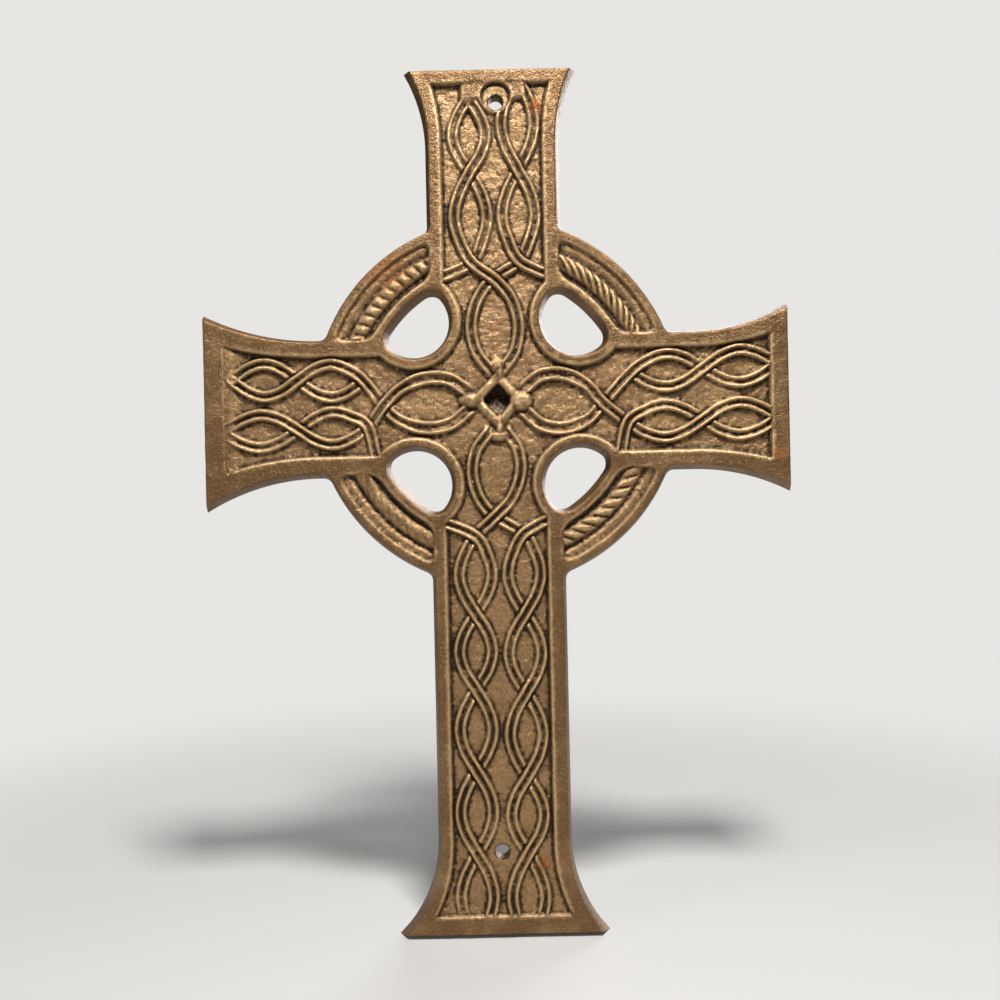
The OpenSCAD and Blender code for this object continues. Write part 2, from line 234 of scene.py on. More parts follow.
# A free strand's end is this much nearer the centre than its first crossing, on the upright and the crossbar
END_BACK, BAR_END_BACK = 5.0, 2.7
CLOSED_BY = 1.2  # a closed twist's free strand runs this far past its first crossing
RIM_BITE = 1.0  # a strand that ends in a rim runs this far into it
BEAD_UP = 0.6  # the crossbar's petals end this far above its axis
END_FADE = {"petal": 2.6, "rim": 1.0}  # a strand sinks away over this length past its end
CLOSED_TIPS = ("top_left", "left_upper")  # twists that close short of the panel's end, in a small knob
TIP_R, TIP_H = 2.3, 1.5  # radius and height of that knob
PETAL_STEPS, PETAL_POWER = 6, 0.7  # knots along a petal's side, and how full its swing is

# Each twist: its arm, offset from the arm's axis at the ring and at the tip, first crossing, and the
# crossings as shares of the way from there to the panel's end
TWISTS = {
    "top_left": (0, -7.8, -7.8, 48.6, (0, 0.503, 0.92)),
    "top_right": (0, 8.8, 9.3, 48.8, (0, 0.513, 1.03)),
    "foot_left": (1, -8.5, -10.6, 46.5, (0, 0.206, 0.405, 0.62, 0.839, 1.068)),
    "foot_right": (1, 8.3, 7.4, 46.0, (0, 0.211, 0.419, 0.64, 0.842, 1.076)),
    "left_upper": (2, 8.2, 9.4, 46.0, (0, 0.482, 0.96)),
    "left_lower": (2, -7.8, -8.8, 45.0, (0, 0.493, 1.03)),
    "right_upper": (3, 9.2, 11.2, 46.5, (0, 0.524, 1.056)),
    "right_lower": (3, -8.0, -7.4, 45.3, (0, 0.527, 1.055)),
}


def crossings(twist):
    number, first, last, start, shares = TWISTS[twist]
    direction, reach, *_, (_, _, tip) = ARMS[number]
    direction, side = np.array(direction), np.abs(np.array(direction))[::-1]
    n = len(shares) - 1
    return [
        direction * (start + (reach - tip - start) * s) + side * (first + (last - first) * i / n)
        for i, s in enumerate(shares)
    ]


CROSS = {name: crossings(name) for name in TWISTS}


def petal(first, second, back, direction, end, gap, swing):
    """Where a petal's strands cross outside, where they end, half their gap there and their side swing."""
    tip = (CROSS[first][0] + CROSS[second][0]) / 2 - np.array(back)
    up = BEAD_UP if direction[1] == 0 else 0.0
    return tip, np.array(direction) * end + np.array([0, up]), gap, swing


PETALS = {
    "top": petal("top_left", "top_right", (0.8, 5.9), UP, 11.0, 2.0, 7.2),
    "foot": petal("foot_left", "foot_right", (1.4, -6.4), DOWN, 11.0, 3.4, 6.6),
    "left": petal("left_upper", "left_lower", (-6, 0.8), WEST, 10.6, 3.7, 6.8),
    "right": petal("right_upper", "right_lower", (9.1, 1.8), EAST, 10.0, 4.4, 7.2),
}


def rim_end(twist):
    """Where a twist's free strand runs into the rim on its side of the arm."""
    number, offset, _, start, _ = TWISTS[twist]
    dx, dz = ARMS[number][0]
    which = 0 if (offset < 0) == (dx == 0) else 1
    across = math.copysign(ARMS[number][2][which] - ARMS[number][5][which] + RIM_BITE, offset)
    along = start - (END_BACK if dx == 0 else BAR_END_BACK)
    return (across, along * dz) if dx == 0 else (along * dx, across)


def closed_end(twist):
    return CROSS[twist][0] - np.array(ARMS[TWISTS[twist][0]][0]) * CLOSED_BY


def swing_knots(a, b, amount, steps=4, power=1.0):
    """Knots of one stretch of a strand, which swings out to one side between its ends. A smaller power makes
    a fuller swing."""
    a, b = np.array(a, float), np.array(b, float)
    d = b - a
    out = side_of(d) * amount
    return [a + d * i / steps + out * math.sin(math.pi * i / steps) ** power for i in range(steps)]


def side_of(d):
    """The axis across a stretch that runs along d."""
    return np.array([0, 1.0]) if abs(d[0]) > abs(d[1]) else np.array([1.0, 0])


def curve(knots, spacing=0.5):
    """Smooth curve through the knots, as points about spacing apart."""
    k = np.array([knots[0], *knots, knots[-1]], float)
    out = []
    for i in range(1, len(k) - 2):
        n = max(2, int(np.linalg.norm(k[i + 1] - k[i]) / spacing))
        u = (np.arange(n) / n)[:, None]
        a, b, c, d = k[i - 1 : i + 3]
        square, cube = 2 * a - 5 * b + 4 * c - d, 3 * b - a - 3 * c + d
        out.append(0.5 * (2 * b + (c - a) * u + square * u**2 + cube * u**3))
    return np.vstack([*out, k[-1:]])


def twist_knots(twist, first):
    """Knots of a strand from the arm's tip in to its twist's first crossing; first is the side that it swings
    to in the eye nearest the ring."""
    stops = CROSS[twist][::-1]
    eyes = len(stops) - 1
    swings = [first * (1 if i % 2 == 0 else -1) for i in range(eyes)][::-1]
    return [p for i, s in enumerate(swings) for p in swing_knots(stops[i], stops[i + 1], s)] + [stops[-1]]


def petal_strand(twist, first, name, sign):
    """A strand that runs on round one side of a petal."""
    tip, end, gap, swing = PETALS[name]
    last = end + side_of(end - tip) * sign * gap
    around = swing_knots(tip, last, sign * swing, steps=PETAL_STEPS, power=PETAL_POWER)
    return curve([*twist_knots(twist, first), *around, last])


# Each twist: the side its petal strand swings to next to the ring, its petal, and its side of that petal
ROUTES = {
    "top_left": (-SWING, "top", 1),
    "top_right": (SWING, "top", -1),
    "foot_left": (-SWING, "foot", 1),
    "foot_right": (SWING, "foot", -1),
    "left_upper": (SWING, "left", -1),
    "left_lower": (-SWING, "left", 1),
    "right_upper": (SWING, "right", -1),
    "right_lower": (-SWING, "right", 1),
}
CLOSED = ("left_upper", "right_upper")  # twists whose free strand ends under its first crossing
STRANDS = {}
for twist, (side, name, sign) in ROUTES.items():
    free_end = closed_end(twist) if twist in CLOSED else rim_end(twist)
    STRANDS[twist, "petal"] = petal_strand(twist, side, name, sign)
    STRANDS[twist, "rim"] = curve([*twist_knots(twist, -side), free_end])


def twist_crossings(twist, first):
    """A twist's crossings; first is the strand on top nearest the ring, and the strands then take turns."""
    names = ("petal", "rim") if first == "petal" else ("rim", "petal")
    places = CROSS[twist][:-1]
    return [(place, (twist, names[i % 2]), (twist, names[1 - i % 2])) for i, place in enumerate(places)]


# Each crossing: its place, the strand on top and the strand below
OVERS = [
    (CROSS["top_left"][0], ("top_left", "petal"), ("top_left", "rim")),
    (CROSS["top_left"][1], ("top_left", "petal"), ("top_left", "rim")),
    *twist_crossings("top_right", "rim"),
    *twist_crossings("foot_left", "rim"),
    *twist_crossings("foot_right", "rim"),
    (CROSS["left_upper"][0], ("left_upper", "petal"), ("left_upper", "rim")),
    (CROSS["left_upper"][1], ("left_upper", "petal"), ("left_upper", "rim")),
    *twist_crossings("left_lower", "rim"),
    *twist_crossings("right_upper", "petal"),
    *twist_crossings("right_lower", "rim"),
    (PETALS["top"][0], ("top_left", "petal"), ("top_right", "petal")),
    (PETALS["foot"][0], ("foot_left", "petal"), ("foot_right", "petal")),
    (PETALS["left"][0], ("left_lower", "petal"), ("left_upper", "petal")),
    (PETALS["right"][0], ("right_lower", "petal"), ("right_upper", "petal")),
]


def nearest(path, x, z, past=0.0):
    """Distance to a path, and the length along it at the nearest point, for arrays of points. The path's last
    stretch counts as running straight on for the length past."""
    a, b = path[:-1], path[1:]
    d = b - a
    size = np.linalg.norm(d, axis=1)
    start = np.concatenate([[0], np.cumsum(size)[:-1]])
    best = np.full(x.shape, 1e9)
    where = np.zeros(x.shape)
    for i in range(len(a)):
        high = 1 + past / size[i] if i == len(a) - 1 else 1
        u = np.clip(((x - a[i, 0]) * d[i, 0] + (z - a[i, 1]) * d[i, 1]) / size[i] ** 2, 0, high)
        gap = np.hypot(x - a[i, 0] - d[i, 0] * u, z - a[i, 1] - d[i, 1] * u)
        closer = gap < best
        best = np.where(closer, gap, best)
        where = np.where(closer, start[i] + size[i] * u, where)
    return best, where


def ribbon_profile(gap, cord_at):
    """Height of a ribbon over the ground by the distance from its middle: a low body with two round cords."""
    body = BODY_H * smooth((cord_at + CORD_HALF + BODY_PAST - gap) / BODY_EDGE)
    cord = np.maximum(1 - np.abs((gap - cord_at) / CORD_HALF) ** CORD_ROUND, 0)
    return body + CORD_H * cord


def ribbons(x, z):
    """Height of the interlace over the ground."""
    reach = CORD_AT + PETAL_SPREAD + max(END_FADE.values())
    mean, *waves = WEAR
    wear = mean + sum(size * noise(x, z, bump, seed) for size, bump, seed in waves)
    heights, gaps = {}, {}
    for name, path in STRANDS.items():
        lo, hi = path.min(axis=0) - reach, path.max(axis=0) + reach
        box = (x > lo[0]) & (x < hi[0]) & (z > lo[1]) & (z < hi[1])
        fade = END_FADE[name[1]]
        gap, where = nearest(path, x[box], z[box], past=fade)
        total = np.linalg.norm(np.diff(path, axis=0), axis=1).sum()
        on_crossbar = name[0].startswith(("left", "right"))
        spread = PETAL_SPREAD if on_crossbar and name[1] == "petal" else 0.0
        cord_at = CORD_AT + spread * smooth((where - total + PETAL_LENGTH) / PETAL_SPREADS_OVER)
        lift = np.zeros(gap.shape)
        for place, over, under in OVERS:
            if name in (over, under):
                at = nearest(path, *np.array(place)[:, None])[1][0]
                window = smooth(1 - np.abs(where - at) / CROSSING_R)
                lift += (LIFT if name == over else -DIP) * window
        h = ribbon_profile(gap, cord_at) * wear[box]
        h = np.maximum(h + lift * smooth(h / LIFTED_H), 0) * smooth(1 - (where - total) / fade)
        heights[name] = np.zeros(x.shape)
        gaps[name] = np.full(x.shape, 99.0)
        heights[name][box] = h
        gaps[name][box] = gap - cord_at
    for place, over, under in OVERS:
        near = np.hypot(x - place[0], z - place[1]) < CROSSING_R + UNDER_PAST
        cut = smooth((gaps[over] - CORD_HALF - UNDER_GAP) / UNDER_FADE)
        heights[under] = np.where(near, heights[under] * cut, heights[under])
    out = np.max(list(heights.values()), axis=0)
    for name in CLOSED_TIPS:
        d = np.hypot(x - CROSS[name][-1][0], z - CROSS[name][-1][1]) / TIP_R
        out = np.maximum(out, TIP_H * np.sqrt(np.maximum(1 - d**2, 0)))
    return out


# ---- Rope ----
ROPE_SIT = 1.2  # the rope lies this much nearer the openings than its channel's middle
ROPE_R = RING_R - RING_RIM - CHANNEL_W / 2 - ROPE_SIT  # radius of the rope's middle
ROPE_HALF = 2.7  # half width of the rope
ROPE_H = 1.9  # its height over the channel's floor
ROPE_WEAR = (0.12, 3.0, 21)  # noise in that height: size, bumps, seed
BAND_IN, BAND_H = 56.6, 0.75  # outside this radius the channel's floor is a band that stands this much higher
BAND_SLOPE = 1.6  # width of the slope at its edge
# Each quarter: slant of the strands off the radial direction in degrees, their spacing along the ring, and
# the depth of the grooves between them as a share of the rope's height
ROPES = {
    (1, 1): (-52, 3.6, 0.75),
    (-1, 1): (17, 3.84, 0.75),
    (-1, -1): (-50, 3.9, 0.12),
    (1, -1): (44, 4.4, 0.8),
}
STRAND_ROUND = 0.45  # a smaller power gives broader strands with narrower grooves


def rope(x, z):
    """Height of the rope over the channel's floor."""
    offset = np.hypot(x, z) - ROPE_R
    round_top = np.sqrt(np.maximum(1 - (offset / ROPE_HALF) ** 2, 0))
    along = np.arctan2(np.abs(z), np.abs(x)) * ROPE_R
    size, bump, seed = ROPE_WEAR
    worn = 1 + size * noise(x, z, bump, seed)
    out = np.zeros(x.shape)
    for (sx, sz), (slant, pitch, depth) in ROPES.items():
        here = (x * sx > 0) & (z * sz > 0)
        phase = (along + offset * math.tan(math.radians(slant))) / pitch
        strand_top = np.abs(np.cos(np.pi * phase)) ** STRAND_ROUND
        out = np.where(here, ROPE_H * worn * round_top * (1 - depth * (1 - strand_top)), out)
    return out


def band(x, z):
    """Height over the channel's floor of the band between the rope and the outer rim."""
    return BAND_H * smooth((np.hypot(x, z) - BAND_IN) / BAND_SLOPE)


# ---- Centre ----
CENTRE_HALF = 20  # half the side of the square that holds it all
# The diamond's corners, and the lumps at the centre: place, half width and half height, height over ground
DIAMOND = [(0.5, 8.8), (-7.4, 0.9), (0.6, -8.0), (7.6, 0.9), (0.5, 8.8)]
LUMPS = [
    ((-9.0, 0.7), (4.7, 2.7), 2.4),
    ((8.4, 0.1), (4.0, 3.7), 2.9),
    ((0.2, 12.6), (2.6, 2.8), 1.7),
    ((1.2, 9.6), (1.7, 3.8), 1.8),
    ((0.9, -8.8), (1.6, 4.6), 1.7),
    ((0.6, -11.9), (3.9, 2.0), 1.6),
]
LUMP_ROUND, LUMP_TOP = 2.2, 0.7  # powers that make a lump a little flatter than a ball
DIAMOND_CORD = 1.6  # half width of the diamond's cord
DIAMOND_H = 1.35  # height of that cord over the ground
# Depth of the hollow inside it below the ground at its top, the share of that at its foot, and where its
# floor starts to rise and over what height
HOLLOW, HOLLOW_FOOT, HOLLOW_FROM, HOLLOW_OVER = 3.6, 0.2, -6.0, 9.0
HOLLOW_EDGE, HOLLOW_SLOPE = 0.9, 1.3  # its wall starts this far inside the cord's outer edge, and its width
JOIN = 1.3  # the lumps and the cord run into each other over this height
CENTRE_WEAR = (0.3, 2.6, 31)  # noise in their height: size, bumps, seed
RAISED_FROM = 0.05  # what rises less than this over the ground may be hollow


def centre(x, z):
    """Height over the ground of the diamond and its lumps, and the depth of its hollow."""
    near = np.maximum(np.abs(x), np.abs(z)) < CENTRE_HALF
    px, pz = x[near], z[near]
    gap = nearest(np.array(DIAMOND), px, pz)[0]
    inside = np.ones(px.shape, bool)
    for (ax, az), (bx, bz) in zip(DIAMOND, DIAMOND[1:]):
        inside &= (bx - ax) * (pz - az) - (bz - az) * (px - ax) > 0
    size, bump, seed = CENTRE_WEAR
    rough = 1 + size * noise(px, pz, bump, seed)
    raised = DIAMOND_H * rough * np.sqrt(np.maximum(1 - (gap / DIAMOND_CORD) ** 2, 0))
    for (lx, lz), (half_w, half_h), height in LUMPS:
        d = np.hypot((px - lx) / half_w, (pz - lz) / half_h)
        lump = height * rough * np.maximum(1 - d**LUMP_ROUND, 0) ** LUMP_TOP
        raised = np.maximum(soft_max(raised, lump, JOIN) - JOIN / 4, np.maximum(raised, lump))
    depth = HOLLOW * (HOLLOW_FOOT + (1 - HOLLOW_FOOT) * smooth((pz - HOLLOW_FROM) / HOLLOW_OVER))
    sunk = depth * smooth((gap - DIAMOND_CORD + HOLLOW_EDGE) / HOLLOW_SLOPE) * inside
    out = np.zeros(x.shape)
    out[near] = np.where(raised > RAISED_FROM, raised, -sunk)
    return out


# ---- The front ----
SEAT_FLAT = 1.6  # depth of the flat round the upper hole below the rims
SEAT_SLOPE, SEAT_ROUND = 0.9, 0.2  # width of the wall round it, and the share of that which is worn away
ABOVE_RIM = 1.0  # nothing beyond that wall is cut down to less than this over the rims
# The raised ground round it: a bar below the top rim, its middle and half width, how far above the hole it
# starts, how far it reaches round the flat, and its height
BOSS_X, BOSS_W, BOSS_RISE, BOSS_ROUND, BOSS_H = 0.9, 11.9, 0.5, 1.3, 1.6
BOSS_SLOPE, BOSS_FILLET = 1.2, 2.0  # width of its slope, and the fillet between the bar and the flat
# The left and foot panels' ground rises to meet their end rims: where that starts, over what length, how high
SWELL_LEFT, SWELL_FOOT = (LEFT - 15.0, 6.5, 1.3), (FOOT - 11.5, 3.5, 0.7)
INNER = 3  # raised work is at its full height this many times sooner than the rims' slopes end


def boss_distance(x, z):
    """Distance to the outline of the raised ground round the upper hole."""
    bar = np.maximum(np.abs(x - BOSS_X) - BOSS_W, UPPER_HOLE[1] + BOSS_RISE - z)
    disc = np.hypot(x - UPPER_HOLE[0], z - UPPER_HOLE[1] - SEAT_RISE) - SEAT_R - BOSS_ROUND
    return soft_min(bar, disc, BOSS_FILLET)


def front_height(x, z):
    """Height of the front over the wall plane, before the casting's roughness."""
    panel, channel = (smooth(0.5 - shape(x, z) / WALL_W) for shape in (panel_distance, channel_distance))
    h = RIM_T - (RIM_T - GROUND_T) * np.maximum(panel, channel)
    inner, in_channel = smooth(panel * INNER), smooth(channel * INNER)
    middle = centre(x, z)
    ends = ((-x, SWELL_LEFT), (-z, SWELL_FOOT))
    swell = np.maximum(*(high * smooth((along - start) / length) for along, (start, length, high) in ends))
    boss = BOSS_H * smooth(-boss_distance(x, z) / BOSS_SLOPE)
    h = np.maximum(h, GROUND_T + np.maximum(boss, swell) * inner)
    h = np.maximum(h, GROUND_T + np.maximum(ribbons(x, z), middle) * inner)
    h = np.maximum(h, GROUND_T + np.maximum(rope(x, z), band(x, z)) * in_channel) + np.minimum(middle, 0)
    seat = np.hypot(x - UPPER_HOLE[0], z - UPPER_HOLE[1] - SEAT_RISE) - SEAT_R
    wall = (SEAT_FLAT + ABOVE_RIM) * smooth(seat / SEAT_SLOPE + SEAT_ROUND)
    return np.minimum(h, RIM_T - SEAT_FLAT + wall)


# ---- The cast surface ----
ROUGHNESS = ((0.12, 14.0, 3), (0.07, 4.0, 4), (0.08, 1.5, 5), (0.06, 0.8, 6))  # noise: size, bumps, seed
# The sunk ground is rougher than the rims by this share, from this far below them, over this depth
GROUND_GRAIN, GROUND_FROM, GROUND_OVER = 0.9, 0.5, 0.8
SOFTENED = 0.4  # share of a height that comes from the mean round it, as sand casting rounds things off


def roughness(x, z):
    return sum(size * noise(x, z, bump, seed) for size, bump, seed in ROUGHNESS)


def blurred(values, cells):
    """Mean over a square window that reaches this many cells each way."""
    for axis in (0, 1):
        values = sum(np.roll(values, i, axis) for i in range(-cells, cells + 1)) / (2 * cells + 1)
    return values


def sample(grid, x, z):
    """Values of a grid at points between its own."""
    u = np.clip((x - GRID_X[0]) / STEP, 0, len(GRID_X) - 1.001)
    v = np.clip((z - GRID_Z[0]) / STEP, 0, len(GRID_Z) - 1.001)
    i, j = u.astype(int), v.astype(int)
    a, b = u - i, v - j
    low = grid[j, i] * (1 - a) + grid[j, i + 1] * a
    high = grid[j + 1, i] * (1 - a) + grid[j + 1, i + 1] * a
    return low * (1 - b) + high * b


def height_grid():
    """The front's heights over the whole grid: carved, softened as sand casting does, and roughened."""
    x, z = (v.ravel() for v in np.meshgrid(GRID_X, GRID_Z))
    shape = (len(GRID_Z), len(GRID_X))
    sharp = front_height(x, z).reshape(shape)
    grain = 1 + GROUND_GRAIN * smooth((RIM_T - GROUND_FROM - sharp) / GROUND_OVER)
    cast = sharp * (1 - SOFTENED) + blurred(sharp, 1) * SOFTENED
    return cast + roughness(x, z).reshape(shape) * grain


GRID_X = np.arange(-LEFT - STEP, RIGHT + 2 * STEP, STEP)
GRID_Z = np.arange(-FOOT - STEP, TOP + 2 * STEP, STEP)
HEIGHTS = height_grid()


# ---- Mesh ----
LEAST_SLOPE = 0.2  # least squared gradient that a point is moved by, so that none flies off
ARRIS_ROWS, SIDE_ROWS, BACK_ROWS = 4, 6, 2  # rows of points round the arris, down the side, round the back
SHARP = math.radians(50)  # edges sharper than this aren't shaded smooth


def gradient(x, z, eps=0.01):
    gx = (plan(x + eps, z) - plan(x - eps, z)) / (2 * eps)
    gz = (plan(x, z + eps) - plan(x, z - eps)) / (2 * eps)
    return gx, gz


def project(x, z, level, steps=6):
    """Moves points along the outline's gradient to where plan() equals level."""
    for _ in range(steps):
        gx, gz = gradient(x, z)
        f = (plan(x, z) - level) / np.maximum(gx**2 + gz**2, LEAST_SLOPE)
        x, z = x - f * gx, z - f * gz
    return x, z


def flat_mesh(level, tolerance=0.02):
    """Triangles over the plan inside a level of plan(), with the edge points moved onto that level."""
    x, z = np.meshgrid(GRID_X, GRID_Z)
    shape = x.shape
    x, z = x.ravel().copy(), z.ravel().copy()
    f = plan(x, z) - level
    close = np.abs(f) < 2 * STEP * HOLE_SHARPNESS
    gx, gz = gradient(x[close], z[close])
    size = np.ones(x.shape)
    size[close] = np.maximum(np.hypot(gx, gz), 0.5)
    edge = np.abs(f) < 0.5 * STEP * size
    keep = edge | (f < 0)
    x[edge], z[edge] = project(x[edge], z[edge], level)
    ids = np.arange(x.size).reshape(shape)
    a, b, c, d = (i.ravel() for i in (ids[:-1, :-1], ids[:-1, 1:], ids[1:, 1:], ids[1:, :-1]))
    tris = []
    whole = keep[a] & keep[b] & keep[c] & keep[d]
    for p, q, r in ((a, b, c), (a, c, d)):
        tris.append(np.stack([p, q, r], 1)[whole])
    for p, q, r, s in ((a, b, c, d), (b, c, d, a), (c, d, a, b), (d, a, b, c)):
        three = keep[p] & keep[q] & keep[r] & ~keep[s]
        tris.append(np.stack([p, q, r], 1)[three])
    tris = np.vstack(tris)
    mid_x, mid_z = x[tris].mean(axis=1), z[tris].mean(axis=1)
    tris = tris[plan(mid_x, mid_z) < level + tolerance]
    used, tris = np.unique(tris, return_inverse=True)
    return x[used], z[used], tris.reshape(-1, 3)


def corner_points(level):
    """The arms' eight corners, where the outline moved to a level of plan() would meet at a point."""
    found = []
    for (dx, dz), reach, edges, spread, flare, _ in ARMS:
        for side in (0, 1):
            r = (flare**2 + spread[side] ** 2) / (2 * spread[side])
            t = flare + level
            root = math.sqrt(r**2 - t**2)
            across = (edges[side] + r - root + level * math.hypot(1, t / root)) * (1 - 2 * side)
            along = reach + level
            found.append((-across, along * dz) if dx == 0 else (along * dx, across))
    return np.array(found)


def edge_loops(tris):
    """Directed edges that only one triangle has."""
    edges = np.vstack([tris[:, [0, 1]], tris[:, [1, 2]], tris[:, [2, 0]]])
    key = edges[:, 0] * (tris.max() + 1) + edges[:, 1]
    back = edges[:, 1] * (tris.max() + 1) + edges[:, 0]
    return edges[~np.isin(key, back)]


def side_rows():
    """Levels of plan(), heights and drops from the front: round the arris and down the drafted side to the
    back."""
    rows = []
    for i in range(1, ARRIS_ROWS + 1):
        a = math.pi / 2 * i / ARRIS_ROWS
        rows.append((-DRAFT - ARRIS + ARRIS * math.sin(a), None, ARRIS * (1 - math.cos(a))))
    top = RIM_T - ARRIS
    for i in range(1, SIDE_ROWS + 1):
        s = i / SIDE_ROWS
        rows.append((-DRAFT * (1 - s), top + (BACK_EDGE - top) * s, 0))
    for i in range(1, BACK_ROWS + 1):
        a = math.pi / 2 * i / BACK_ROWS
        rows.append((-BACK_EDGE * (1 - math.cos(a)), BACK_EDGE * (1 - math.sin(a)), 0))
    return rows


def casting_mesh():
    """Points and triangles of the whole casting: carved front, rows down the sides and flat back."""
    level = -DRAFT - ARRIS
    x, z, tris = flat_mesh(level)
    h = sample(HEIGHTS, x, z)
    n = len(x)
    edges = edge_loops(tris)
    rim = np.unique(edges)
    corners = [np.argmin(np.hypot(x[rim] - cx, z[rim] - cz)) for cx, cz in corner_points(level)]
    x[rim[corners]], z[rim[corners]] = corner_points(level).T
    row_of = np.full(n, -1)
    row_of[rim] = np.arange(len(rim))
    points = [np.stack([x, -h, z], 1)]
    faces = [tris]
    rx, rz, front = x[rim], z[rim], h[rim]
    previous = rim
    start = n
    for row_level, height, drop in side_rows():
        rx, rz = project(rx, rz, row_level)
        rx[corners], rz[corners] = corner_points(row_level).T
        y = front - drop if height is None else np.full(len(rim), height)
        points.append(np.stack([rx, -y, rz], 1))
        ids = start + np.arange(len(rim))
        a, b = row_of[edges[:, 0]], row_of[edges[:, 1]]
        faces.append(np.stack([previous[b], previous[a], ids[a]], 1))
        faces.append(np.stack([previous[b], ids[a], ids[b]], 1))
        previous = ids
        start += len(rim)
    back_ids = np.where(row_of >= 0, previous[np.maximum(row_of, 0)], -1)
    inner = np.flatnonzero(row_of < 0)
    back_ids[inner] = start + np.arange(len(inner))
    points.append(np.stack([x[inner], np.zeros(len(inner)), z[inner]], 1))
    faces.append(back_ids[tris][:, ::-1])
    return np.vstack(points), np.vstack(faces)


def add_mesh(name, points, faces):
    mesh = bpy.data.meshes.new(name)
    mesh.vertices.add(len(points))
    mesh.vertices.foreach_set("co", (points / MM).astype(np.float32).ravel())
    mesh.loops.add(faces.size)
    mesh.loops.foreach_set("vertex_index", faces.astype(np.int32).ravel())
    mesh.polygons.add(len(faces))
    mesh.polygons.foreach_set("loop_start", np.arange(0, faces.size, 3, dtype=np.int32))
    mesh.update(calc_edges=True)
    mesh.validate()
    obj = bpy.data.objects.new(name, mesh)
    bpy.context.scene.collection.objects.link(obj)
    return obj


points, faces = casting_mesh()
casting = add_mesh("casting", points, faces)
thin = casting.modifiers.new("thin", "DECIMATE")
thin.ratio = FACES / len(faces)
thin.use_collapse_triangulate = True
evaluated = casting.evaluated_get(bpy.context.evaluated_depsgraph_get())
thinned = bpy.data.meshes.new_from_object(evaluated)
casting.modifiers.clear()
casting.data = thinned
casting.data.shade_smooth()
casting.data.set_sharp_from_angle(angle=SHARP)
print("casting triangles", len(faces), "->", len(thinned.polygons))


# ---- Material ----
class Nodes:
    """Short hand for making and joining shader nodes."""

    def __init__(self, tree):
        self.tree = tree

    def add(self, kind, inputs=(), **settings):
        node = self.tree.nodes.new("ShaderNode" + kind)
        for key, value in settings.items():
            setattr(node, key, value)
        for key, value in dict(inputs).items():
            if isinstance(value, bpy.types.NodeSocket):
                self.tree.links.new(value, node.inputs[key])
            else:
                node.inputs[key].default_value = value
        return node

    def noise(self, place, size, detail=3.0, rough=0.55):
        """Noise with bumps about size mm across."""
        values = {"Vector": place, "Scale": MM / size, "Detail": detail, "Roughness": rough}
        return self.add("TexNoise", values).outputs["Fac"]

    def ramp(self, value, *stops):
        """Maps a value through (position, colour or grey) stops."""
        node = self.add("ValToRGB", {"Fac": value})
        ends = node.color_ramp.elements
        while len(ends) < len(stops):
            ends.new(0.5)
        for end, (at, colour) in zip(ends, stops):
            end.position = at
            end.color = (colour, colour, colour, 1) if isinstance(colour, (int, float)) else (*colour, 1)
        return node.outputs["Color"]

    def mix(self, fac, a, b, blend="MIX"):
        node = self.add("Mix", data_type="RGBA", blend_type=blend)
        for socket, value in zip((node.inputs[0], node.inputs[6], node.inputs[7]), (fac, a, b)):
            if isinstance(value, bpy.types.NodeSocket):
                self.tree.links.new(value, socket)
            else:
                socket.default_value = (*value, 1) if isinstance(value, tuple) else value
        return node.outputs[2]

    def math(self, operation, a, b=0.5):
        return self.add("Math", {0: a, 1: b}, operation=operation).outputs[0]


BRONZE = (0.19, 0.100, 0.038)  # the lacquer on the open faces
PALE = (0.36, 0.212, 0.095)  # the same where it is thin
WEAR_AND_HIGHLIGHT = (0.80, 0.56, 0.29)  # wear on rubbed edges and cord tops, with painted highlight there; also the pale specks
SHADE_AND_GRIME = (0.030, 0.017, 0.008)  # painted shade in the hollows and creases, with some dirt; also the dark specks
RUST = (0.40, 0.115, 0.020)
METALLIC = 0.6
BLOTCH, SPECK, GRAIN = 9.0, 0.7, 1.5  # size in mm of the patches, of the specks and of the sand grain
BUMP_DEPTH = 0.00035  # m


